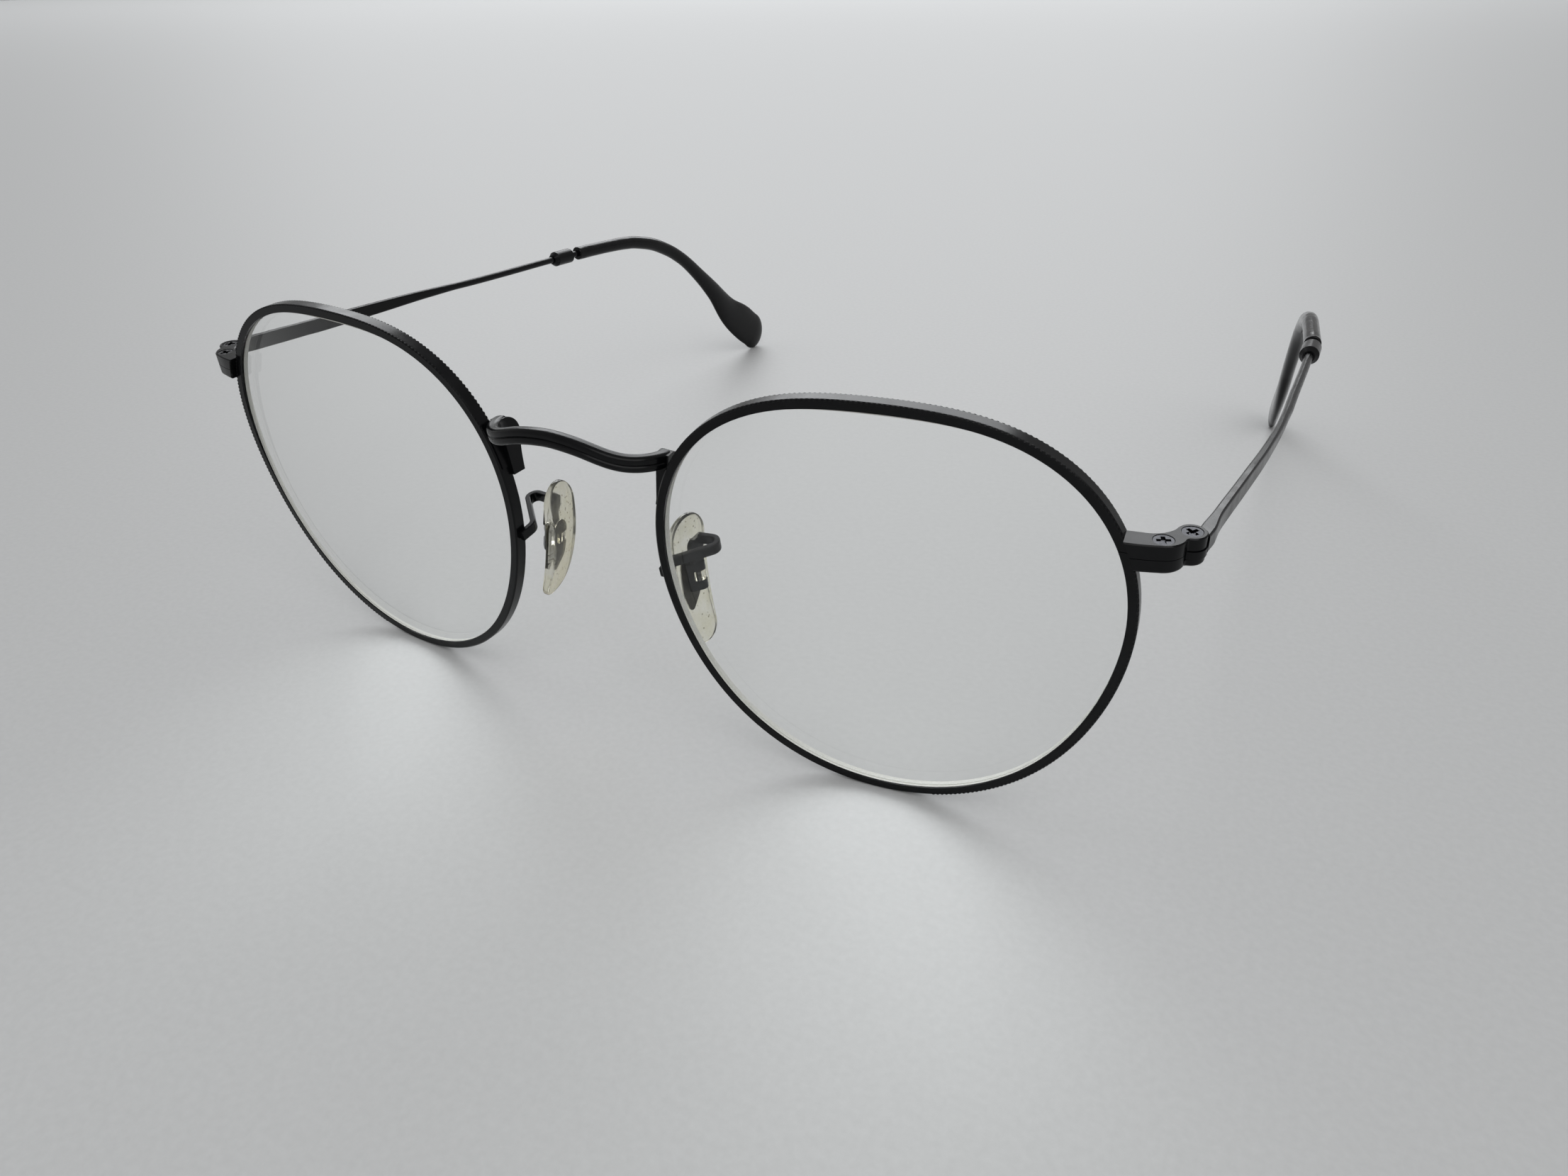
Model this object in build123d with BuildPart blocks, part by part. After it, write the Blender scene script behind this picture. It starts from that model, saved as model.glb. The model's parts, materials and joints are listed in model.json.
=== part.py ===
from build123d import *
import os
from math import cos, pi, radians, sin, sqrt

# Round metal spectacles with two folding temples and rocking nose pads.
# Millimetres, +Z up. The front faces -Y and the temples run back along +Y. +X is the
# wearer's left. The spectacles stand on the rim bottoms and the temple tips at z = 0.
# Every sub-part is drawn for the wearer's left and mirrored about the YZ plane.

# Attitude of the front
Y_FRONT = -66.21                # y of the front datum behind which depths are counted
Z_BASE = -0.16                  # z of the datum above which heights are counted
TILT = radians(4.6)             # top of the front leans forward
WRAP = radians(5.5)             # outer side of each rim lies further back
EYE_X, EYE_BACK, EYE_Z = 35.46, -2.24, 24.98

# Eyewire and lens
LENS_R = 23.96                  # mean radius of the inner edge of the eyewire
RIM_WALL = 1.04                 # radial width of the eyewire
RIM_DEPTH = 1.6                 # front-to-back depth of the eyewire
RIM_EDGE = 0.16                 # bevel on the outer edges of the eyewire
GROOVE = 0.5                    # depth and half width of the lens groove
LENS_THICK = 1.8
LENS_CURVE = 133.0              # radius of the lens front
LENS_EDGE_IN = 0.2              # front edge of the lens behind the eyewire's front face
BEVEL_IN = 1.0                  # inner edge of the lens bevel, inside the eyewire
FIT_GAP = 0.03                  # clearance between fixed pieces that are fitted together

# End piece: two closing blocks stacked at the outer top of each rim
HINGE_X, HINGE_BACK, HINGE_Z = 63.85, 2.45, 38.25
UPPER_THICK = 1.5
SEAM = 0.06                     # gap between the two closing blocks
LOWER_THICK = 1.4
KNUCKLE_R = 1.4
TOP_KNUCKLE = 1.25              # the temple knuckle lies under this much plate
TEMPLE_KNUCKLE = 0.8
KNUCKLE_GAP = 0.08
SWING_R = 1.8                   # room for the turning knuckle
TEMPLE_KNUCKLE_R = 1.52
ROOT_R = 1.5                    # hollow of the temple's root round the blocks' knuckles
CORNER_R = 0.4                  # rounding of the corners of the block's plan
BLOCK_BEVEL, BLOCK_ROUND = 0.12, 0.35   # top edge and bottom edge of the blocks
LOCK_X, LOCK_BACK = -2.01, -2.45    # rim-lock screw, from the hinge axis

# Screws
HEAD_R, HEAD_THICK = 0.95, 0.42
SHANK_R = 0.6
RUN_GAP = 0.05                  # running clearance round a hinge pin
CROSS_LONG, CROSS_WIDE, CROSS_DEEP = 1.3, 0.4, 0.2

# Temple: depth, x, z, width, height and corner radius of each station of the bar
BAR_STATIONS = [
    (2.75, 64.78, 37.12, 1.25, 1.75, 0.2),
    (4.4, 64.87, 37.05, 1.4, 1.8, 0.2),
    (9.0, 65.1, 36.82, 0.95, 2.0, 0.2),
    (20.0, 65.85, 36.2, 0.9, 2.0, 0.2),
    (32.0, 66.6, 35.6, 0.9, 1.75, 0.25),
    (42.0, 66.9, 35.15, 0.95, 1.4, 0.4),
    (49.0, 66.9, 34.8, 1.14, 1.14, 0.56),
]
BAR_STEPS, TIP_STEPS = 25, 27   # sections of the bar and of the tip
# Round wire behind the bar: depth, x and z of its centre line
WIRE_LINE = [
    (49.0, 66.9, 34.8), (62.0, 66.7, 34.2), (76.0, 66.5, 33.7),
    (82.4, 66.25, 33.45), (90.0, 65.37, 33.2),
]
WIRE_R, BORE_R = 0.57, 0.6
COLLAR_BACK, COLLAR_LONG, COLLAR_R = 75.2, 5.3, 1.32
TIP_BACK = 82.4

# Temple tip: depth, z, width and height of each station of the plastic cover
TIP_X0, TIP_SLOPE = 66.3, -0.122
TIP_STATIONS = [
    (82.8, 33.44, 2.4, 2.4),
    (90.0, 33.2, 2.35, 2.35),
    (96.5, 32.8, 2.4, 2.45),
    (103.2, 31.4, 2.4, 2.5),
    (109.2, 28.85, 2.3, 2.55),
    (113.8, 25.95, 2.3, 2.6),
    (118.5, 21.95, 2.25, 3.0),
    (123.7, 16.95, 2.2, 4.2),
    (129.0, 11.0, 2.15, 6.6),
]
PADDLE_BACK, PADDLE_Z, PADDLE_R = 137.85, 4.263, 4.1
PADDLE_THICK, PADDLE_LONG = 2.1, 4.0    # straight part of the paddle before its round end
PADDLE_DROP = radians(38)       # slope of the paddle below level
TIP_LIP, TIP_ROUND = 0.4, 0.25  # straight lip at the front of the tip and its rounded edge

# Bridge bar: x, depth and z of half of its centre line
BRIDGE_LINE = [
    (0.0, -8.8, 39.85),
    (3.0, -8.75, 39.6),
    (6.0, -8.35, 38.85),
    (8.5, -7.35, 38.1),
    (10.1, -6.0, 37.85),
    (10.9, -4.65, 37.77),
    (11.08, -3.35, 37.74),
]
BAR_HIGH, BAR_DEEP = 1.85, 1.45
BAR_ROUND = 0.5
BAR_CREASE = 0.22               # half width of the crease along the front of the bar
# Foot of the bridge: its side outline as depth behind the eyewire's front and height
FOOT_FRONT, FOOT_LOW, FOOT_THICK = 1.3, 7.0, 1.5
FOOT_BACK = [(3.0, FOOT_LOW), (3.15, 8.5), (3.4, 10.0), (3.85, 11.6)]
FOOT_CROWN = [(3.4, 13.1), (2.2, 13.72), (FOOT_FRONT, 13.72)]
FOOT_OUTER = [(-25.65, FOOT_LOW), (-24.9, 13.7)]    # its nose side, across and up from the lens
FOOT_INNER = 0.9                # its inner side behind the eyewire, grown from the lens
# Thin flange of the foot along the outer side of the eyewire: front, growth, low and high
FLANGE_FRONT, FLANGE_GROW, FLANGE_LOW, FLANGE_HIGH = 0.3, 0.15, 8.0, 12.2

# Pad arm: plan of its centre line as x and depth
ARM_LINE = [(9.98, -4.0), (9.75, -1.9), (15.15, 3.5), (10.95, 3.08)]
ARM_RADII = [1.3, 0.9]
ARM_THICK, ARM_HIGH = 0.65, 1.3
ARM_EDGE = 0.12
ARM_Z, ARM_RISE = 23.9, radians(13.2)
# Plate that comes down from the arm's end to the pad box, in the pad's frame
NECK_BACK = [(-0.75, 2.15), (-0.75, 3.4), (-1.25, 4.1), (-1.25, 5.35), (-0.1, 5.1)]
NECK_FRONT = [(-0.1, 5.1), (0.7, 4.8), (1.0, 4.1)]
NECK_THICK = 0.6

# Nose pad, in a frame with its centre, its long axis and the direction of the nose
PAD_TOP = Vector(10.11, 2.5, 28.58)
PAD_BOTTOM = Vector(12.6, 2.01, 12.7)
PAD_SPLAY = radians(8)
PAD_LONG = 16.08
PAD_TOP_R, PAD_BOTTOM_R = 2.83, 2.3
PAD_OUT, PAD_NOSE = 0.95, 2.4       # outer and nose-side faces at the middle
PAD_OUT_END, PAD_NOSE_END = 0.25, 0.9
PAD_ROUND = 0.24
# Outline of the leaf and the pad as the hull of circles: front, height and radius
LEAF_CIRCLES = [(0.5, 1.65, 1.45), (0.7, -1.2, 1.4), (1.15, -3.0, 0.5)]
PAD_CIRCLES = [(0, PAD_LONG / 2 - PAD_TOP_R, PAD_TOP_R), (0, PAD_BOTTOM_R - PAD_LONG / 2, PAD_BOTTOM_R)]
LEAF_THICK = 0.3
PIN_BACK, PIN_NOSE = 0.1, 0.25      # the pin from the middle of the pad
EAR_R, WEB_R = 0.92, 0.5            # rounding of the box at the pin and at its front
BOX_FRONT, WEB_THICK = 1.4, 0.45
WEB_NOSE = 0.25                     # the front of the box leans to the nose
BOX_NOSE = 0.6                      # flat of the box that faces the pad
UPPER_EAR, SLOT, LOWER_EAR = 0.9, 1.3, 1.0
SLOT_LOW = -0.05
LUG_THICK, LUG_R, LUG_LONG = 1.15, 0.8, 1.3
PAD_PIN_R, PAD_HEAD_R, PAD_HEAD_SEAT = 0.3, 0.48, 0.35
PAD_PIN_BLIND = 0.5                 # closed top of the pin's hole in the upper ear


def place(x, back, z):
    """A point from its x, its depth behind the front datum and its height above the base."""
    return Vector(x, Y_FRONT + back, Z_BASE + z)


up_front = Vector(0, -sin(TILT), cos(TILT))
back_front = Vector(0, cos(TILT), sin(TILT))
eye_across = Vector(1, 0, 0) * cos(WRAP) + back_front * sin(WRAP)
eye_plane = Plane(
    origin=place(EYE_X, EYE_BACK, EYE_Z), x_dir=eye_across, z_dir=eye_across.cross(up_front)
)
hinge_plane = Plane(
    origin=place(HINGE_X, HINGE_BACK, HINGE_Z), x_dir=(1, 0, 0), z_dir=up_front
)
hinge_axis = Axis(hinge_plane.origin, hinge_plane.z_dir)


def lens_radius(angle):
    """Inner edge of the eyewire: a round eye, slightly squared and fuller at the top."""
    return (
        LENS_R + 0.70 * cos(2 * angle) + 0.08 * sin(2 * angle)
        + 0.98 * sin(3 * angle) - 0.37 * cos(4 * angle)
    )


def eye_face(grow, depth):
    """Face of the eye shape, grown by a width, at a depth behind the eyewire's front."""
    steps = 36
    points = []
    for step in range(steps):
        angle = 2 * pi * step / steps
        radius = lens_radius(angle) + grow
        points.append((radius * cos(angle), radius * sin(angle)))
    with BuildSketch(eye_plane.offset(-depth), mode=Mode.PRIVATE) as outline:
        with BuildLine():
            Spline(*points, periodic=True)
        make_face()
    return outline.sketch


def eye_prism(grow, front, back, mode=Mode.ADD):
    """Straight prism of the eye shape between two depths behind the eyewire's front."""
    extrude(eye_face(grow, back), amount=back - front, mode=mode)


def eye_taper(grow_front, front, grow_back, back, mode=Mode.ADD):
    """Tapered prism of the eye shape between two depths behind the eyewire's front."""
    faces = [eye_face(grow_front, front), eye_face(grow_back, back)]
    loft(sections=faces, ruled=True, mode=mode)


# Eyewire: a grooved ring, slit at the closing blocks
with BuildPart() as rim:
    eye_taper(RIM_WALL - RIM_EDGE, 0, RIM_WALL, RIM_EDGE)
    eye_prism(RIM_WALL, RIM_EDGE, RIM_DEPTH - RIM_EDGE)
    eye_taper(RIM_WALL, RIM_DEPTH - RIM_EDGE, RIM_WALL - RIM_EDGE, RIM_DEPTH)
    eye_prism(0, -1, RIM_DEPTH + 1, mode=Mode.SUBTRACT)
    eye_taper(0, RIM_DEPTH / 2 - GROOVE, GROOVE, RIM_DEPTH / 2, mode=Mode.SUBTRACT)
    eye_taper(GROOVE, RIM_DEPTH / 2, 0, RIM_DEPTH / 2 + GROOVE, mode=Mode.SUBTRACT)
    with BuildSketch(hinge_plane.offset(-UPPER_THICK - SEAM)):
        with Locations((-5, -3)):
            Rectangle(4, 4)
    extrude(amount=SEAM, mode=Mode.SUBTRACT)

# Lens: a meniscus with a bevelled edge that sits in the groove
lens_front = LENS_EDGE_IN - (LENS_CURVE - sqrt(LENS_CURVE**2 - LENS_R**2))
with BuildPart() as lens_bevel:
    bevel = GROOVE - FIT_GAP
    eye_taper(-BEVEL_IN, RIM_DEPTH / 2 - bevel, bevel - FIT_GAP, RIM_DEPTH / 2)
    eye_taper(bevel - FIT_GAP, RIM_DEPTH / 2, -BEVEL_IN, RIM_DEPTH / 2 + bevel)
    eye_prism(0.1 - BEVEL_IN, 0, RIM_DEPTH, mode=Mode.SUBTRACT)

with BuildPart() as lens:
    eye_prism(-FIT_GAP, lens_front - 1, LENS_THICK + 2)
    with Locations(eye_plane.offset(-lens_front - LENS_CURVE)):
        Sphere(LENS_CURVE, rotation=(90, 0, 0), mode=Mode.INTERSECT)
        Sphere(LENS_CURVE - LENS_THICK, rotation=(90, 0, 0), mode=Mode.SUBTRACT)
    add(lens_bevel.part)


def block(top, bottom):
    """A closing block between two depths below its top: a bent bar with a hinge knuckle."""
    with BuildSketch(hinge_plane.offset(-bottom), mode=Mode.PRIVATE) as outline:
        with BuildLine():
            ThreePointArc((-6.6, -4.45), (-4.3, -4.25), (-1.9, -3.65))
            ThreePointArc((-1.9, -3.65), (-0.6, -2.9), (-0.1, -1.9))
            Line((-0.1, -1.9), (0, 0))
            Line((0, 0), (-1.35, 0.3))
            ThreePointArc((-1.35, 0.3), (-2.0, -0.85), (-3.5, -1.7))
            Line((-3.5, -1.7), (-6.6, -2.15))
            Line((-6.6, -2.15), (-6.6, -4.45))
        make_face()
        Circle(KNUCKLE_R)
        for grow in (CORNER_R, -2 * CORNER_R, CORNER_R):
            offset(amount=grow, kind=Kind.ARC)
    extrude(outline.sketch, amount=bottom - top)


def hinge_disc(radius, top, bottom, mode=Mode.SUBTRACT, at=(0, 0)):
    """A round hole or disc of the hinge between two depths below the block's top."""
    with BuildSketch(hinge_plane.offset(-bottom), mode=Mode.PRIVATE) as disc:
        with Locations(at):
            Circle(radius)
    extrude(disc.sketch, amount=bottom - top, mode=mode)


total_thick = UPPER_THICK + SEAM + LOWER_THICK
low_knuckle_top = TOP_KNUCKLE + TEMPLE_KNUCKLE + 2 * KNUCKLE_GAP
lock_at = (LOCK_X, LOCK_BACK)

# Upper closing block, with the top hinge knuckle and the seats of both screw heads
with BuildPart() as upper_block:
    block(0, UPPER_THICK)
    chamfer(upper_block.faces().sort_by(hinge_axis)[-1].edges(), BLOCK_BEVEL)
    hinge_disc(SWING_R, TOP_KNUCKLE, UPPER_THICK)
    for at in ((0, 0), lock_at):
        hinge_disc(SHANK_R + FIT_GAP / 2, 0, UPPER_THICK, at=at)
        hinge_disc(HEAD_R + RUN_GAP, 0, HEAD_THICK + RUN_GAP, at=at)
    eye_prism(RIM_WALL, -4, 8, mode=Mode.SUBTRACT)

# Lower closing block, rounded underneath, with the bottom hinge knuckle
with BuildPart() as lower_block:
    block(UPPER_THICK + SEAM, total_thick)
    fillet(lower_block.faces().sort_by(hinge_axis)[0].edges(), BLOCK_ROUND)
    hinge_disc(SWING_R, UPPER_THICK, low_knuckle_top)
    for at in ((0, 0), lock_at):
        hinge_disc(SHANK_R + FIT_GAP / 2, 0, total_thick + 1, at=at)
    eye_prism(RIM_WALL, -4, 8, mode=Mode.SUBTRACT)


def head_screw(at, turn, length):
    """A flat-headed screw with a crossed recess, its head level with the block's top."""
    hinge_disc(HEAD_R, RUN_GAP, RUN_GAP + HEAD_THICK, mode=Mode.ADD, at=at)
    hinge_disc(SHANK_R, RUN_GAP + HEAD_THICK, length, mode=Mode.ADD, at=at)
    with BuildSketch(hinge_plane.offset(-RUN_GAP), mode=Mode.PRIVATE) as cross:
        with Locations(Location((*at, 0), (0, 0, turn))):
            Rectangle(CROSS_LONG, CROSS_WIDE)
            Rectangle(CROSS_WIDE, CROSS_LONG)
    extrude(cross.sketch, amount=-CROSS_DEEP, mode=Mode.SUBTRACT)


with BuildPart() as rim_lock_screw:
    head_screw(lock_at, 20, total_thick - 0.3)

with BuildPart() as hinge_screw:
    head_screw((0, 0), 55, total_thick - 0.1)


def path_plane(point, before, after):
    """Plane across a bent path at a point, from its neighbours on the path."""
    along = (after - before).normalized()
    side = Vector(1, 0, 0) - along * along.X
    return Plane(origin=point, x_dir=side, z_dir=along)


def path_planes(points):
    """Planes across a path at each of its points."""
    planes = []
    for index, point in enumerate(points):
        before = points[max(index - 1, 0)]
        after = points[min(index + 1, len(points) - 1)]
        planes.append(path_plane(point, before, after))
    return planes


def smooth_value(places, values, at):
    """Value at a place of a smooth curve through given values, which doesn't overshoot them."""
    steps = [(b - a) / (q - p) for p, q, a, b in zip(places, places[1:], values, values[1:])]
    inner = [2 * a * b / (a + b) if a * b > 0 else 0 for a, b in zip(steps, steps[1:])]
    slopes = [steps[0], *inner, steps[-1]]
    index = max(i for i, place in enumerate(places[:-1]) if place <= at)
    span = places[index + 1] - places[index]
    part = (at - places[index]) / span
    rise = (values[index + 1] - values[index]) * part**2 * (3 - 2 * part)
    lean = (1 - part) * slopes[index] - part * slopes[index + 1]
    return values[index] + rise + span * part * (1 - part) * lean


def even_stations(stations, count):
    """Stations at even steps along a list of them, smoothly joined."""
    columns = list(zip(*stations))
    first, last = columns[0][0], columns[0][-1]
    places = [first + (last - first) * step / (count - 1) for step in range(count)]
    return [[smooth_value(columns[0], column, at) for column in columns] for at in places]


# Temple: knuckle, flat bar that narrows to a round wire, ending in the tip
bar_stations = even_stations(BAR_STATIONS, BAR_STEPS)
bar_points = [place(x, back, z) for back, x, z, wide, high, corner in bar_stations]
wire_line = Spline(*[place(x, back, z) for back, x, z in WIRE_LINE], mode=Mode.PRIVATE)
wire_start = Plane(origin=wire_line @ 0, z_dir=wire_line % 0)


def along_wire(radius, mode):
    """Sweep a circle along the centre line of the temple's wire."""
    with BuildSketch(wire_start, mode=Mode.PRIVATE) as section:
        Circle(radius)
    sweep(section.sketch, path=wire_line, mode=mode)


with BuildPart() as temple:
    planes = path_planes(bar_points)
    planes[-1] = path_plane(bar_points[-1], bar_points[-1], bar_points[-1] + wire_line % 0)
    for plane, (back, x, z, wide, high, corner) in zip(planes, bar_stations):
        with BuildSketch(plane):
            RectangleRounded(wide, high, corner)
    loft()
    along_wire(WIRE_R, Mode.ADD)
    own_top = TOP_KNUCKLE + KNUCKLE_GAP
    own_bottom = own_top + TEMPLE_KNUCKLE
    hinge_disc(ROOT_R, -1, own_top)
    hinge_disc(ROOT_R, own_bottom, total_thick + 1)
    hinge_disc(TEMPLE_KNUCKLE_R, own_top, own_bottom, mode=Mode.ADD)
    hinge_disc(SHANK_R + RUN_GAP, own_top, own_bottom)

# Collar on the temple wire in front of the tip
collar_plane = path_plane(
    place(66.51, COLLAR_BACK, 33.73), place(66.7, 62.0, 34.2), place(66.2, 83.5, 33.42)
)
with BuildPart() as temple_collar:
    with BuildSketch(collar_plane):
        Circle(COLLAR_R)
    extrude(amount=COLLAR_LONG)
    ends = temple_collar.edges().filter_by(GeomType.CIRCLE).sort_by(Axis.Y)
    chamfer(ends[0], 0.8, 0.5)
    chamfer(ends[-1], 0.4)
    along_wire(BORE_R, Mode.SUBTRACT)


# Temple tip: a plastic cover that bends down behind the ear into a flat paddle
def tip_point(back, z):
    """A point of the tip's centre line, which runs inwards in plan."""
    return place(TIP_X0 + TIP_SLOPE * (back - TIP_BACK), back, z)


tip_stations = list(TIP_STATIONS)
for reach in (-PADDLE_LONG, 0):
    back = PADDLE_BACK + reach * cos(PADDLE_DROP)
    z = PADDLE_Z - reach * sin(PADDLE_DROP)
    tip_stations.append((back, z, PADDLE_THICK, 2 * PADDLE_R))
tip_stations = even_stations(tip_stations, TIP_STEPS)
tip_points = [tip_point(back, z) for back, z, wide, high in tip_stations]
tip_planes = path_planes(tip_points)
with BuildPart() as temple_tip:
    with BuildSketch(tip_planes[0]):
        Circle(TIP_STATIONS[0][2] / 2)
    extrude(amount=-TIP_LIP)
    fillet(temple_tip.edges().filter_by(GeomType.CIRCLE).sort_by(Axis.Y)[0], TIP_ROUND)
    for plane, (back, z, wide, high) in zip(tip_planes, tip_stations):
        with BuildSketch(plane):
            Ellipse(high / 2, wide / 2, rotation=90)
    loft()
    with BuildSketch(tip_planes[-1]):
        Ellipse(PADDLE_R, PADDLE_THICK / 2, rotation=90)
        split(bisect_by=Plane.XZ, keep=Keep.BOTTOM)
    revolve(axis=Axis(tip_planes[-1].origin, tip_planes[-1].x_dir), revolution_arc=180)
    along_wire(BORE_R, Mode.SUBTRACT)

# Bridge: a bowed and creased bar whose ends curl down into a foot beside each rim
bridge_half = [place(x, back, z) for x, back, z in BRIDGE_LINE]
bridge_points = [Vector(-p.X, p.Y, p.Z) for p in bridge_half[:0:-1]] + bridge_half
foot_low, foot_high = [eye_plane.from_local_coords(Vector(u, v, 0)) for u, v in FOOT_OUTER]
foot_rise = (foot_high - foot_low).normalized()
foot_plane = Plane(origin=foot_low, x_dir=-eye_plane.z_dir, z_dir=foot_rise.cross(eye_plane.z_dir))
with BuildPart() as rim_room:
    eye_prism(RIM_WALL, -3, RIM_DEPTH)
    eye_prism(FOOT_INNER, RIM_DEPTH, RIM_DEPTH + 5)
    mirror(about=Plane.YZ)

with BuildPart() as foot_flange:
    eye_prism(RIM_WALL + FLANGE_GROW, FLANGE_FRONT, RIM_DEPTH)
    with BuildSketch(eye_plane):
        with Locations((-LENS_R, (FLANGE_LOW + FLANGE_HIGH) / 2)):
            Rectangle(LENS_R, FLANGE_HIGH - FLANGE_LOW)
    extrude(amount=10, both=True, mode=Mode.INTERSECT)
    eye_prism(RIM_WALL / 2, -1, RIM_DEPTH + 1, mode=Mode.SUBTRACT)

with BuildPart() as bridge:
    with BuildSketch(foot_plane) as foot_side:
        with BuildLine():
            back_edge = Spline(*[(depth, v - FOOT_LOW) for depth, v in FOOT_BACK])
            crown = [(depth, v - FOOT_LOW) for depth, v in FOOT_CROWN]
            ThreePointArc(back_edge @ 1, crown[0], crown[1])
            Polyline(*crown[1:], (FOOT_FRONT, 0), back_edge @ 0)
        make_face()
    extrude(amount=FOOT_THICK)
    add(foot_flange.part)
    mirror(about=Plane.YZ)
    for index, point in enumerate(bridge_points):
        before = bridge_points[max(index - 1, 0)]
        after = bridge_points[min(index + 1, len(bridge_points) - 1)]
        along = (after - before).normalized()
        side = Vector(0, 1, 0) - along * along.Y
        with BuildSketch(Plane(origin=point, x_dir=side, z_dir=along)):
            RectangleRounded(BAR_DEEP, BAR_HIGH, BAR_ROUND)
            with Locations(Location((-BAR_DEEP / 2, 0, 0), (0, 0, 45))):
                Rectangle(BAR_CREASE, BAR_CREASE, mode=Mode.SUBTRACT)
    loft()
    add(rim_room.part, mode=Mode.SUBTRACT)

# Frame of the nose pad: x towards its front edge, y up its length, z towards the nose
pad_up = (PAD_TOP - PAD_BOTTOM).normalized()
splayed = Vector(-cos(PAD_SPLAY), sin(PAD_SPLAY), 0)
pad_nose = (splayed - pad_up * splayed.dot(pad_up)).normalized()
pad_centre = (PAD_TOP + PAD_BOTTOM) * 0.5
pad_plane = Plane(
    origin=place(pad_centre.X, pad_centre.Y, pad_centre.Z), x_dir=pad_up.cross(pad_nose),
    z_dir=pad_nose,
)
pad_side = Plane(origin=pad_plane.origin, x_dir=pad_nose, z_dir=-pad_plane.x_dir)
pin_origin = pad_plane.from_local_coords(Vector(-PIN_BACK, 0, PIN_NOSE))
pin_plane = Plane(origin=pin_origin, x_dir=pad_plane.x_dir, z_dir=pad_up)
ear_top = SLOT_LOW + SLOT + UPPER_EAR
ear_bottom = SLOT_LOW - LOWER_EAR

# Pad arm: flat wire on edge, bent back from the rim and hooked round to the pad box
arm_plane = Plane(
    origin=place(0, ARM_LINE[0][1], ARM_Z), x_dir=(1, 0, 0), z_dir=(0, -sin(ARM_RISE), cos(ARM_RISE))
)
arm_points = [(x, (back - ARM_LINE[0][1]) / cos(ARM_RISE)) for x, back in ARM_LINE]
with BuildPart() as pad_arm:
    with BuildLine(arm_plane) as arm_line:
        FilletPolyline(*arm_points, radius=ARM_RADII)
    with BuildSketch(
        Plane(origin=arm_line.line @ 0, x_dir=arm_plane.z_dir, z_dir=arm_line.line % 0)
    ):
        RectangleRounded(ARM_HIGH, ARM_THICK, ARM_EDGE)
    sweep()
    eye_prism(RIM_WALL, -4, RIM_DEPTH, mode=Mode.SUBTRACT)
    with BuildSketch(pad_plane):
        with BuildLine():
            Polyline(*NECK_BACK)
            ThreePointArc(*NECK_FRONT)
            Polyline(NECK_FRONT[-1], (NECK_FRONT[-1][0], ear_top), NECK_BACK[0])
        make_face()
    extrude(amount=NECK_THICK / 2, both=True)


def pad_shell(outer, outer_end, nose, nose_end):
    """A bowed plate across the pad's width, from its outer face to its nose-side face."""
    half = PAD_LONG / 2
    with BuildSketch(pad_side, mode=Mode.PRIVATE) as bow:
        with BuildLine():
            ThreePointArc((outer_end, half), (outer, 0), (outer_end, -half))
            Line((outer_end, -half), (nose_end, -half))
            ThreePointArc((nose_end, -half), (nose, 0), (nose_end, half))
            Line((nose_end, half), (outer_end, half))
        make_face()
    extrude(bow.sketch, amount=PAD_BOTTOM_R + 1, both=True)


def keep_outline(circles):
    """Trim the current part to the hull of circles seen from the nose."""
    with BuildSketch(pad_plane, mode=Mode.PRIVATE) as outline:
        for front, height, radius in circles:
            with Locations((front, height)):
                Circle(radius)
        make_hull()
    extrude(outline.sketch, amount=6, both=True, mode=Mode.INTERSECT)


def pin_disc(radius, low, high, mode=Mode.ADD):
    """A round disc or hole about the pad's pin between two heights on the pad."""
    with BuildSketch(pin_plane.offset(low), mode=Mode.PRIVATE) as disc:
        Circle(radius)
    extrude(disc.sketch, amount=high - low, mode=mode)


# Pad box: a web in front and two rounded ears that hold the pad's lug
with BuildPart() as pad_box:
    with BuildSketch(pin_plane.offset(ear_bottom)):
        Circle(EAR_R)
        with Locations((BOX_FRONT + PIN_BACK - WEB_R, -WEB_NOSE)):
            Circle(WEB_R)
        make_hull()
        with Locations((0, PIN_NOSE - BOX_NOSE - EAR_R)):
            Rectangle(8, 2 * EAR_R, mode=Mode.SUBTRACT)
    extrude(amount=ear_top - ear_bottom)
    with BuildSketch(pin_plane.offset(SLOT_LOW)):
        with Locations((BOX_FRONT + PIN_BACK - WEB_THICK - 3, 0)):
            Rectangle(6, 6)
    extrude(amount=SLOT, mode=Mode.SUBTRACT)
    pin_disc(PAD_PIN_R + FIT_GAP / 2, ear_bottom, ear_top - PAD_PIN_BLIND, mode=Mode.SUBTRACT)
    pin_disc(PAD_HEAD_R + FIT_GAP, ear_bottom, ear_bottom + PAD_HEAD_SEAT, mode=Mode.SUBTRACT)

# Screw through the ears and the lug, its head under the lower ear
with BuildPart() as pad_screw:
    pin_disc(PAD_HEAD_R, ear_bottom + FIT_GAP, ear_bottom + PAD_HEAD_SEAT - FIT_GAP)
    pin_disc(PAD_PIN_R, ear_bottom + FIT_GAP, ear_top - PAD_PIN_BLIND - FIT_GAP)

# Leaf: thin metal plate seated in the outer face of the pad round the lug
with BuildPart() as pad_leaf:
    pad_shell(PAD_OUT, PAD_OUT_END, PAD_OUT + LEAF_THICK, PAD_OUT_END + LEAF_THICK)
    keep_outline(LEAF_CIRCLES)
    with BuildSketch(pad_plane):
        with Locations((-PIN_BACK, SLOT_LOW + SLOT / 2)):
            Rectangle(2 * LUG_R + 2 * FIT_GAP, LUG_THICK + 2 * FIT_GAP)
    extrude(amount=4, mode=Mode.SUBTRACT)

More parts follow.
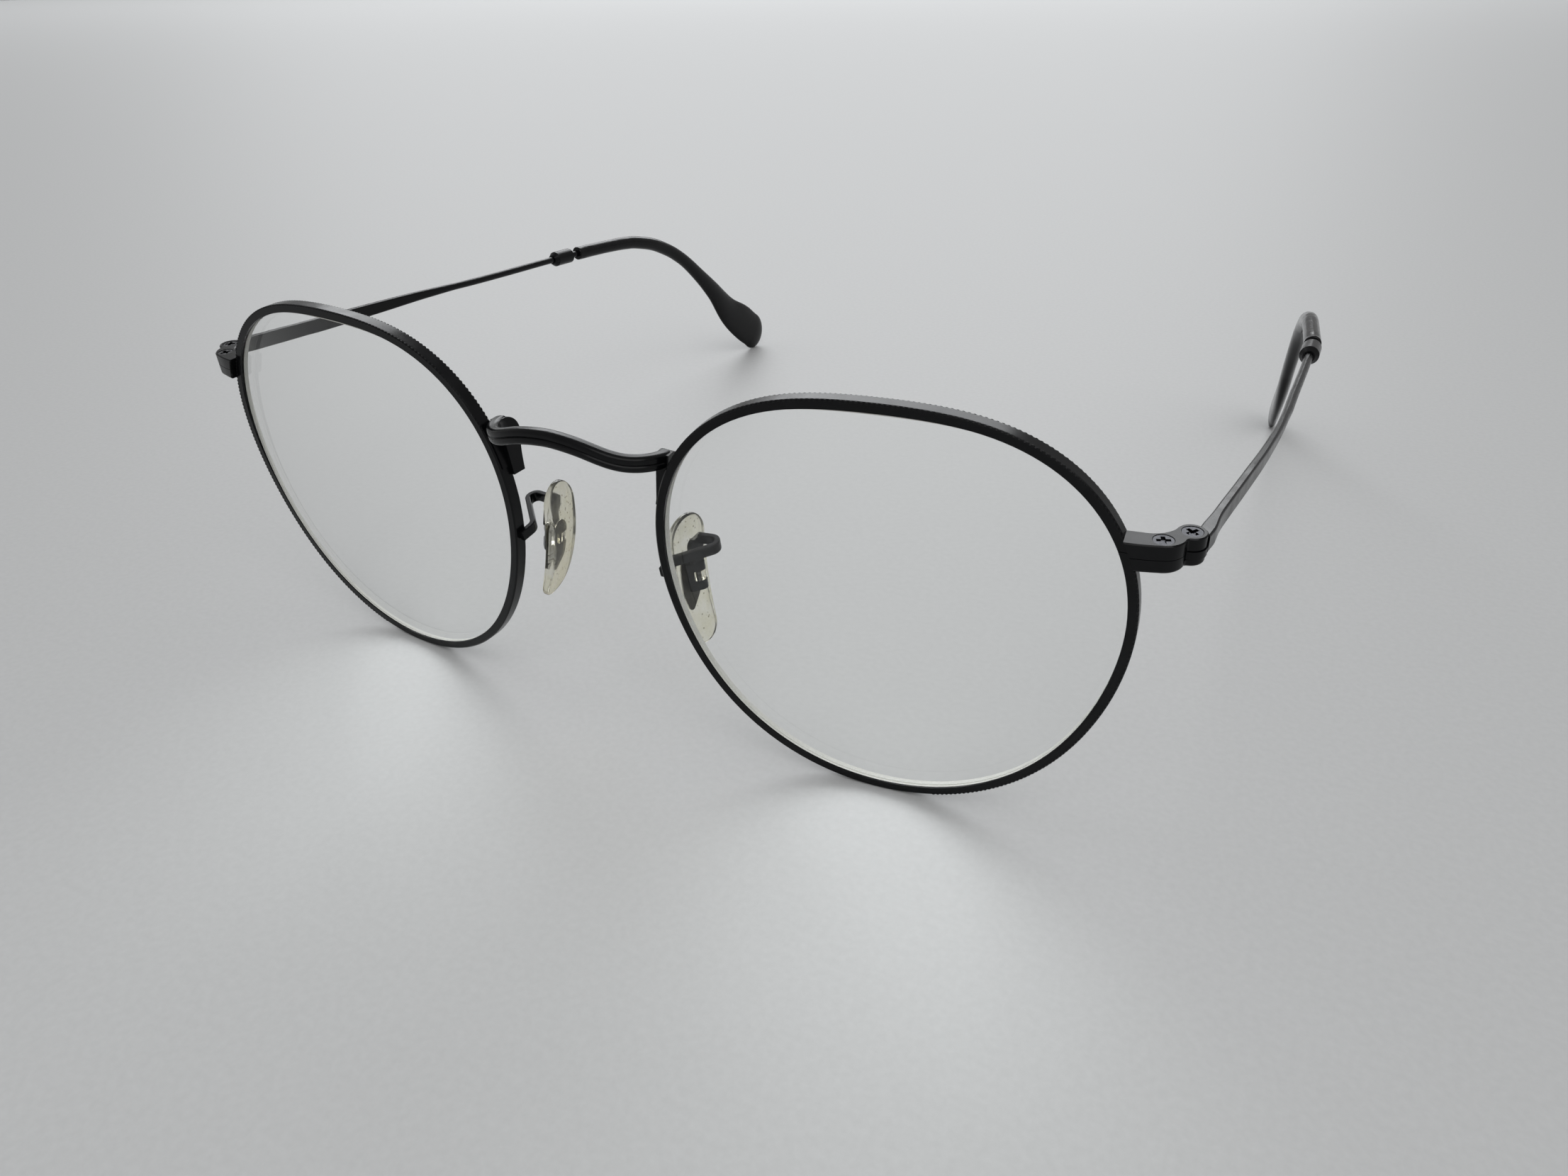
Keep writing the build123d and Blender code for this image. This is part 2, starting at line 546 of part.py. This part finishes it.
# Nose pad: soft clear plastic, bowed towards the nose, with a lug on its outer face
with BuildPart() as nose_pad:
    pad_shell(PAD_OUT, PAD_OUT_END, PAD_NOSE, PAD_NOSE_END)
    keep_outline(PAD_CIRCLES)
    fillet(nose_pad.edges(), PAD_ROUND)
    add(pad_leaf.part, mode=Mode.SUBTRACT)
    slot_middle = SLOT_LOW + SLOT / 2
    with BuildSketch(pin_plane.offset(slot_middle - LUG_THICK / 2)):
        Circle(LUG_R)
        with Locations((0, -LUG_LONG / 2)):
            Rectangle(2 * LUG_R, LUG_LONG)
    extrude(amount=LUG_THICK)
    pin_disc(PAD_PIN_R + RUN_GAP, SLOT_LOW, SLOT_LOW + SLOT, mode=Mode.SUBTRACT)

os.makedirs("parts", exist_ok=True)

pieces = {
    "rim": rim, "lens": lens,
    "upper_closing_block": upper_block, "lower_closing_block": lower_block,
    "rim_lock_screw": rim_lock_screw, "hinge_screw": hinge_screw,
    "temple": temple, "temple_collar": temple_collar, "temple_tip": temple_tip,
    "pad_arm": pad_arm, "pad_box": pad_box, "pad_screw": pad_screw,
    "pad_leaf": pad_leaf, "nose_pad": nose_pad,
}
for name, piece in pieces.items():
    piece.part.label = "left_" + name
    export_step(piece.part, f"parts/left_{name}.step")
    with BuildPart() as opposite:
        mirror(piece.solids(), about=Plane.YZ)
    opposite.part.label = "right_" + name
    export_step(opposite.part, f"parts/right_{name}.step")

bridge.part.label = "bridge"
export_step(bridge.part, "parts/bridge.step")
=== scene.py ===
import json
import math

import bmesh
import bpy
from mathutils import Matrix, Vector


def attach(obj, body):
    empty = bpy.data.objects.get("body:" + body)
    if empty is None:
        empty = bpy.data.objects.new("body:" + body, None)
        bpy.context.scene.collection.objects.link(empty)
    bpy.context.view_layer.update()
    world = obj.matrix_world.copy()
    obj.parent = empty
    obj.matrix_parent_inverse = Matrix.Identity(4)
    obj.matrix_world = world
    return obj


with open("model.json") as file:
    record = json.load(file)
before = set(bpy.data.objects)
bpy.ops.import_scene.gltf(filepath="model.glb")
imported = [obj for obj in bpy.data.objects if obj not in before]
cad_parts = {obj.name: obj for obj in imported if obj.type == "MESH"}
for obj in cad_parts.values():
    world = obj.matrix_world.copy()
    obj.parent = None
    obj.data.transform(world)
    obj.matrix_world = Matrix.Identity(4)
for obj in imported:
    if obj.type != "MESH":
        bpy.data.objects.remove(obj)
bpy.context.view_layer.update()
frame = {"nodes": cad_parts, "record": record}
nodes = frame["nodes"]
MM = 0.001

# The eyewire as part.py draws it, in millimetres: how its plane leans and wraps, its centre, the
# round it starts from, the waves that shape it (each order's cosine and sine), its wall and depth
TILT, WRAP = math.radians(4.6), math.radians(5.5)
EYE_CENTRE = Vector((35.46, -68.45, 24.82))
LENS_R = 23.96
LENS_WAVES = {2: (0.70, 0.08), 3: (0.0, 0.98), 4: (-0.37, 0.0)}
RIM_WALL, RIM_DEPTH = 1.04, 1.6

up_front = Vector((0, -math.sin(TILT), math.cos(TILT)))
back_front = Vector((0, math.cos(TILT), math.sin(TILT)))
eye_across = Vector((math.cos(WRAP), 0, 0)) + back_front * math.sin(WRAP)
eye_back = back_front * math.cos(WRAP) - Vector((math.sin(WRAP), 0, 0))

# Oval beads on the bevels of the eyewire's outer edges, in millimetres: half width, half length
# and spacing, then how far their centres lie inside the outer wall and inside the end faces
BEAD_R, BEAD_LONG, BEAD_PITCH = 0.14, 0.21, 0.53
BEAD_INSET, BEAD_DEPTH = 0.155, 0.085
BEAD_START, BEAD_SWEEP = math.radians(-75), math.radians(227)
ANGLE_STEP = 0.001

# The lens's ground edge ends and its polished face starts at these cosines to the lens's axis
GROUND_BELOW, POLISHED_ABOVE = 0.96, 0.975
LENS_IOR, PAD_IOR = 1.3, 1.43
LENS_TINT, PAD_TINT = (0.93, 0.94, 0.935), (0.85, 0.84, 0.76)

# Staging, in metres
FLOOR_SIZE = 6
WORLD_STRENGTH = 0.36
WINDOW_PLACE, WINDOW_SIZE, WINDOW_POWER = (-1.6, 3.0, 2.0), (3.6, 2.0), 80
WINDOW_COLOUR = (0.96, 0.98, 1.0)
FILL_PLACE, FILL_SIZE, FILL_POWER = (0.5, -0.7, 0.9), (1.0, 0.8), 3.8
EYE = Vector((0.07504, -0.16149, 0.08418))
AZIMUTH, DOWN, ROLL = math.radians(28.535), math.radians(29.383), math.radians(-0.794)
FOCAL_MM, SENSOR_MM, NEAREST = 26.04, 36, 0.01


def new_material(name):
    """An empty node material: its tree and its output's surface socket."""
    material = bpy.data.materials.new(name)
    material.use_nodes = True
    tree = material.node_tree
    tree.nodes.clear()
    output = tree.nodes.new("ShaderNodeOutputMaterial")
    return material, tree, output.inputs["Surface"]


def principled(tree, colour=(0.5, 0.5, 0.5), rough=0.5, ior=1.5, **values):
    """A Principled shader with constant values set on its own sockets."""
    shader = tree.nodes.new("ShaderNodeBsdfPrincipled")
    shader.inputs["Base Color"].default_value = (*colour, 1)
    shader.inputs["Roughness"].default_value = rough
    shader.inputs["IOR"].default_value = ior
    for name, value in values.items():
        shader.inputs[name.replace("_", " ")].default_value = value
    return shader


def object_place(tree):
    """Texture coordinates in object space."""
    return tree.nodes.new("ShaderNodeTexCoord").outputs["Object"]


def noise(tree, scale, detail=3.0, rough=0.55):
    """A noise texture in object space, in waves per metre."""
    texture = tree.nodes.new("ShaderNodeTexNoise")
    texture.inputs["Scale"].default_value = scale
    texture.inputs["Detail"].default_value = detail
    texture.inputs["Roughness"].default_value = rough
    tree.links.new(object_place(tree), texture.inputs["Vector"])
    return texture.outputs["Fac"]


def ramp(tree, value, *stops):
    """A colour ramp over a value, each stop a position and a colour."""
    node = tree.nodes.new("ShaderNodeValToRGB")
    elements = node.color_ramp.elements
    while len(elements) < len(stops):
        elements.new(0.5)
    for element, (position, colour) in zip(elements, stops):
        element.position = position
        element.color = (*colour, 1)
    tree.links.new(value, node.inputs["Fac"])
    return node.outputs["Color"]


def spread(tree, value, low, high, start=0.35, end=0.65):
    """Maps a value from one range onto another."""
    node = tree.nodes.new("ShaderNodeMapRange")
    node.inputs["From Min"].default_value = start
    node.inputs["From Max"].default_value = end
    node.inputs["To Min"].default_value = low
    node.inputs["To Max"].default_value = high
    tree.links.new(value, node.inputs["Value"])
    return node.outputs["Result"]


def mix(tree, factor, first, second):
    """Mixes two shaders: the first at factor 0, the second at factor 1."""
    node = tree.nodes.new("ShaderNodeMixShader")
    tree.links.new(factor, node.inputs["Fac"])
    tree.links.new(first, node.inputs[1])
    tree.links.new(second, node.inputs[2])
    return node.outputs["Shader"]


def multiply(tree, first, second):
    """Multiplies two colours."""
    node = tree.nodes.new("ShaderNodeMix")
    node.data_type = "RGBA"
    node.blend_type = "MULTIPLY"
    node.inputs["Factor"].default_value = 1
    tree.links.new(first, node.inputs["A"])
    tree.links.new(second, node.inputs["B"])
    return node.outputs["Result"]


def bump(tree, shader, value, height, strength):
    """Drives a shader's normal from a height field, its height in metres."""
    node = tree.nodes.new("ShaderNodeBump")
    node.inputs["Distance"].default_value = height
    node.inputs["Strength"].default_value = strength
    tree.links.new(value, node.inputs["Height"])
    tree.links.new(node.outputs["Normal"], shader.inputs["Normal"])


def lets_light_through(tree, surface, glass, tint):
    """Joins a clear shader to the surface so that lamps light what lies behind it."""
    open_shader = tree.nodes.new("ShaderNodeBsdfTransparent")
    open_shader.inputs["Color"].default_value = (*tint, 1)
    path = tree.nodes.new("ShaderNodeLightPath")
    either = mix(tree, path.outputs["Is Shadow Ray"], glass, open_shader.outputs["BSDF"])
    tree.links.new(either, surface)


def mottled(name, waves, dark, pale, gloss, **values):
    """An opaque material with colour and roughness that vary over a noise.

    waves is the noise's scale, detail and roughness, dark and pale are the ramp's two stops,
    and gloss is the least and the greatest roughness.
    """
    material, tree, surface = new_material(name)
    shader = principled(tree, **values)
    field = noise(tree, *waves)
    tree.links.new(ramp(tree, field, dark, pale), shader.inputs["Base Color"])
    tree.links.new(spread(tree, field, *gloss), shader.inputs["Roughness"])
    tree.links.new(shader.outputs["BSDF"], surface)
    return material, tree, shader


def black_metal():
    """Satin black coating: fine orange-peel grain and faintly mottled gloss."""
    material, tree, shader = mottled(
        "black_metal",
        waves=(350, 4),
        dark=(0.3, (0.0022, 0.0024, 0.0028)),
        pale=(0.7, (0.0045, 0.0048, 0.0055)),
        gloss=(0.17, 0.27),
        Specular_IOR_Level=0.18,
    )
    bump(tree, shader, noise(tree, scale=9000, detail=2), height=0.002 * MM, strength=0.3)
    return material


def dark_screw():
    """Blackened steel, paler where the driver has rubbed it."""
    return mottled(
        "dark_screw",
        waves=(2600, 4, 0.7),
        dark=(0.4, (0.02, 0.021, 0.025)),
        pale=(0.7, (0.07, 0.07, 0.077)),
        gloss=(0.18, 0.34),
        Metallic=1,
    )[0]


def black_tip():
    """Glossy black acetate with faint handling marks."""
    return mottled(
        "black_tip",
        waves=(900, 5, 0.65),
        dark=(0.3, (0.004, 0.004, 0.0045)),
        pale=(0.7, (0.009, 0.009, 0.0095)),
        gloss=(0.08, 0.2),
        Specular_IOR_Level=0.2,
    )[0]


def pad_insert():
    """Dull dark metal plate."""
    return mottled(
        "pad_insert",
        waves=(3000, 3),
        dark=(0.3, (0.03, 0.028, 0.022)),
        pale=(0.7, (0.06, 0.056, 0.044)),
        gloss=(0.32, 0.5),
        Metallic=0.6,
    )[0]


def along_eye_axis(tree):
    """How squarely a surface faces along its own lens's axis, from 0 to 1."""
    coords = tree.nodes.new("ShaderNodeTexCoord")
    place = tree.nodes.new("ShaderNodeSeparateXYZ")
    side = tree.nodes.new("ShaderNodeMath")
    side.operation = "SIGN"
    turn = tree.nodes.new("ShaderNodeMath")
    turn.operation = "MULTIPLY"
    turn.inputs[1].default_value = eye_back.x
    axis = tree.nodes.new("ShaderNodeCombineXYZ")
    axis.inputs["Y"].default_value = eye_back.y
    axis.inputs["Z"].default_value = eye_back.z
    dot = tree.nodes.new("ShaderNodeVectorMath")
    dot.operation = "DOT_PRODUCT"
    size = tree.nodes.new("ShaderNodeMath")
    size.operation = "ABSOLUTE"
    tree.links.new(coords.outputs["Object"], place.inputs[0])
    tree.links.new(place.outputs["X"], side.inputs[0])
    tree.links.new(side.outputs[0], turn.inputs[0])
    tree.links.new(turn.outputs[0], axis.inputs["X"])
    tree.links.new(coords.outputs["Normal"], dot.inputs[0])
    tree.links.new(axis.outputs[0], dot.inputs[1])
    tree.links.new(dot.outputs["Value"], size.inputs[0])
    return size.outputs[0]


def clear_lens():
    """Coated clear lens with a ground edge, told apart by which way the surface faces."""
    material, tree, surface = new_material("clear_lens")
    glass = principled(tree, (0.985, 0.99, 0.985), ior=LENS_IOR, Transmission_Weight=1)
    smear = noise(tree, scale=130, detail=5, rough=0.65)
    tree.links.new(spread(tree, smear, 0.0, 0.03), glass.inputs["Roughness"])
    ground = principled(tree, rough=0.7)
    fine = noise(tree, scale=5000)
    colour = ramp(tree, fine, (0.3, (0.62, 0.62, 0.58)), (0.7, (0.78, 0.78, 0.74)))
    tree.links.new(colour, ground.inputs["Base Color"])
    facing = spread(tree, along_eye_axis(tree), 0, 1, GROUND_BELOW, POLISHED_ABOVE)
    lens = mix(tree, facing, ground.outputs["BSDF"], glass.outputs["BSDF"])
    lets_light_through(tree, surface, lens, LENS_TINT)
    return material


def clear_pad():
    """Clear silicone, yellowed with wear, with specks, and darker towards its rims where it is
    seen edge-on, partly from its longer path through the silicone and partly painted shade.
    """
    material, tree, surface = new_material("clear_pad")
    glass = principled(tree, ior=PAD_IOR, Transmission_Weight=1)
    mottle = noise(tree, scale=500, detail=4, rough=0.6)
    body = ramp(tree, mottle, (0.35, (0.85, 0.82, 0.64)), (0.65, (0.96, 0.95, 0.88)))
    dots = tree.nodes.new("ShaderNodeTexVoronoi")
    dots.inputs["Scale"].default_value = 1300
    tree.links.new(object_place(tree), dots.inputs["Vector"])
    specks = ramp(tree, dots.outputs["Distance"], (0.1, (0.25, 0.22, 0.16)), (0.19, (1, 1, 1)))
    # Painted shade, partly standing for the longer path through the silicone: the ramp darkens
    # the pad's colour towards its rims, where the surface is seen edge-on
    rim = tree.nodes.new("ShaderNodeLayerWeight")
    rim.inputs["Blend"].default_value = 0.5
    edge = ramp(
        tree,
        rim.outputs["Facing"],
        (0.35, (1, 1, 1)),
        (0.75, (0.72, 0.66, 0.47)),
        (1.0, (0.2, 0.18, 0.12)),
    )
    colour = multiply(tree, multiply(tree, body, specks), edge)
    tree.links.new(colour, glass.inputs["Base Color"])
    tree.links.new(spread(tree, mottle, 0.03, 0.16), glass.inputs["Roughness"])
    lets_light_through(tree, surface, glass.outputs["BSDF"], PAD_TINT)
    return material


def pale_floor():
    """Pale matt laminate with a faint grain."""
    material, tree, surface = new_material("pale_floor")
    shader = principled(tree, rough=0.55)
    grain = noise(tree, scale=1200)
    colour = ramp(tree, grain, (0.3, (0.585, 0.59, 0.59)), (0.7, (0.615, 0.62, 0.62)))
    tree.links.new(colour, shader.inputs["Base Color"])
    tree.links.new(shader.outputs["BSDF"], surface)
    return material


makers = (black_metal, dark_screw, clear_lens, black_tip, clear_pad, pad_insert)
materials = {maker.__name__: maker() for maker in makers}
for part in frame["record"]["subparts"]:
    mesh = nodes[part["node"]].data
    mesh.materials.clear()
    mesh.materials.append(materials[part["material_slot"]])


def lens_radius(angle):
    """Inner edge of the eyewire in its plane."""
    return LENS_R + sum(
        along * math.cos(order * angle) + up * math.sin(order * angle)
        for order, (along, up) in LENS_WAVES.items()
    )


def eye_point(angle, grow, depth):
    """A point on the eye shape grown by a width, at a depth behind the eyewire's front."""
    radius = lens_radius(angle)
    slope = (lens_radius(angle + ANGLE_STEP) - lens_radius(angle - ANGLE_STEP)) / (2 * ANGLE_STEP)
    outward = Vector((math.cos(angle), math.sin(angle)))
    onward = Vector((-math.sin(angle), math.cos(angle)))
    flat = outward * radius + (outward * radius - onward * slope).normalized() * grow
    return EYE_CENTRE + eye_across * flat.x + up_front * flat.y + eye_back * depth


def bead_places():
    """Evenly spaced bead centres on both outer edges of the left eyewire, each with its run."""
    places = []
    for depth in (BEAD_DEPTH, RIM_DEPTH - BEAD_DEPTH):
        angle = BEAD_START
        while angle < BEAD_START + BEAD_SWEEP:
            place = eye_point(angle, RIM_WALL - BEAD_INSET, depth)
            beyond = eye_point(angle + ANGLE_STEP, RIM_WALL - BEAD_INSET, depth)
            places.append((place, (beyond - place).normalized()))
            angle += BEAD_PITCH / (lens_radius(angle) + RIM_WALL)
    return places


def bead_rows(name, side):
    """One mesh of small oval beads on an eyewire, riding on the front.

    side is 1 for the left eyewire and -1 for the right, which mirrors each bead and so also
    turns its faces' order round.
    """
    bead = bmesh.new()
    bmesh.ops.create_icosphere(bead, subdivisions=2, radius=BEAD_R)
    corners = [vert.co.copy() for vert in bead.verts]
    faces = [[vert.index for vert in face.verts] for face in bead.faces]
    bead.free()
    verts = []
    polygons = []
    for place, run in bead_places():
        start = len(verts)
        for corner in corners:
            spot = place + corner + run * run.dot(corner) * (BEAD_LONG / BEAD_R - 1)
            verts.append(Vector((spot.x * side, spot.y, spot.z)) * MM)
        polygons += [[start + index for index in face[::side]] for face in faces]
    mesh = bpy.data.meshes.new(name)
    mesh.from_pydata(verts, [], polygons)
    mesh.shade_smooth()
    mesh.materials.append(materials["black_metal"])
    piece = bpy.data.objects.new(name, mesh)
    bpy.context.scene.collection.objects.link(piece)
    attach(piece, "front")


bead_rows("left_rim_beads", 1)
bead_rows("right_rim_beads", -1)

# Floor
bpy.ops.mesh.primitive_plane_add(size=FLOOR_SIZE, location=(0, 0, 0))
floor = bpy.context.object
floor.name = "floor"
floor.data.materials.append(pale_floor())

# Soft light: the world, a large window-like lamp behind and a small fill from the front
world = bpy.data.worlds.new("studio")
world.use_nodes = True
background = world.node_tree.nodes["Background"]
background.inputs["Color"].default_value = (1, 1, 1, 1)
background.inputs["Strength"].default_value = WORLD_STRENGTH
bpy.context.scene.world = world


def area_light(name, place, size, power, colour=(1, 1, 1)):
    """A rectangular lamp aimed at the origin, unseen by the camera itself."""
    light = bpy.data.lights.new(name, "AREA")
    light.shape = "RECTANGLE"
    light.size, light.size_y = size
    light.energy = power
    light.color = colour
    lamp = bpy.data.objects.new(name, light)
    lamp.location = place
    lamp.rotation_euler = (-Vector(place)).to_track_quat("-Z", "Y").to_euler()
    lamp.visible_camera = False
    bpy.context.scene.collection.objects.link(lamp)


area_light("window", WINDOW_PLACE, WINDOW_SIZE, WINDOW_POWER, WINDOW_COLOUR)
area_light("fill", FILL_PLACE, FILL_SIZE, FILL_POWER)

# Camera: its view direction, then its level right and its up, both turned by the roll
ahead = Vector(
    (-math.sin(AZIMUTH) * math.cos(DOWN), math.cos(AZIMUTH) * math.cos(DOWN), -math.sin(DOWN))
)
level = Vector((math.cos(AZIMUTH), math.sin(AZIMUTH), 0))
upright = level.cross(ahead)
right = level * math.cos(ROLL) + upright * math.sin(ROLL)
above = upright * math.cos(ROLL) - level * math.sin(ROLL)
camera_data = bpy.data.cameras.new("camera")
camera_data.sensor_width = SENSOR_MM
camera_data.lens = FOCAL_MM
camera_data.clip_start = NEAREST
camera = bpy.data.objects.new("camera", camera_data)
camera.matrix_world = Matrix((right, above, -ahead)).transposed().to_4x4()
camera.location = EYE
bpy.context.scene.collection.objects.link(camera)
bpy.context.scene.camera = camera
bpy.context.scene.view_settings.view_transform = "Standard"
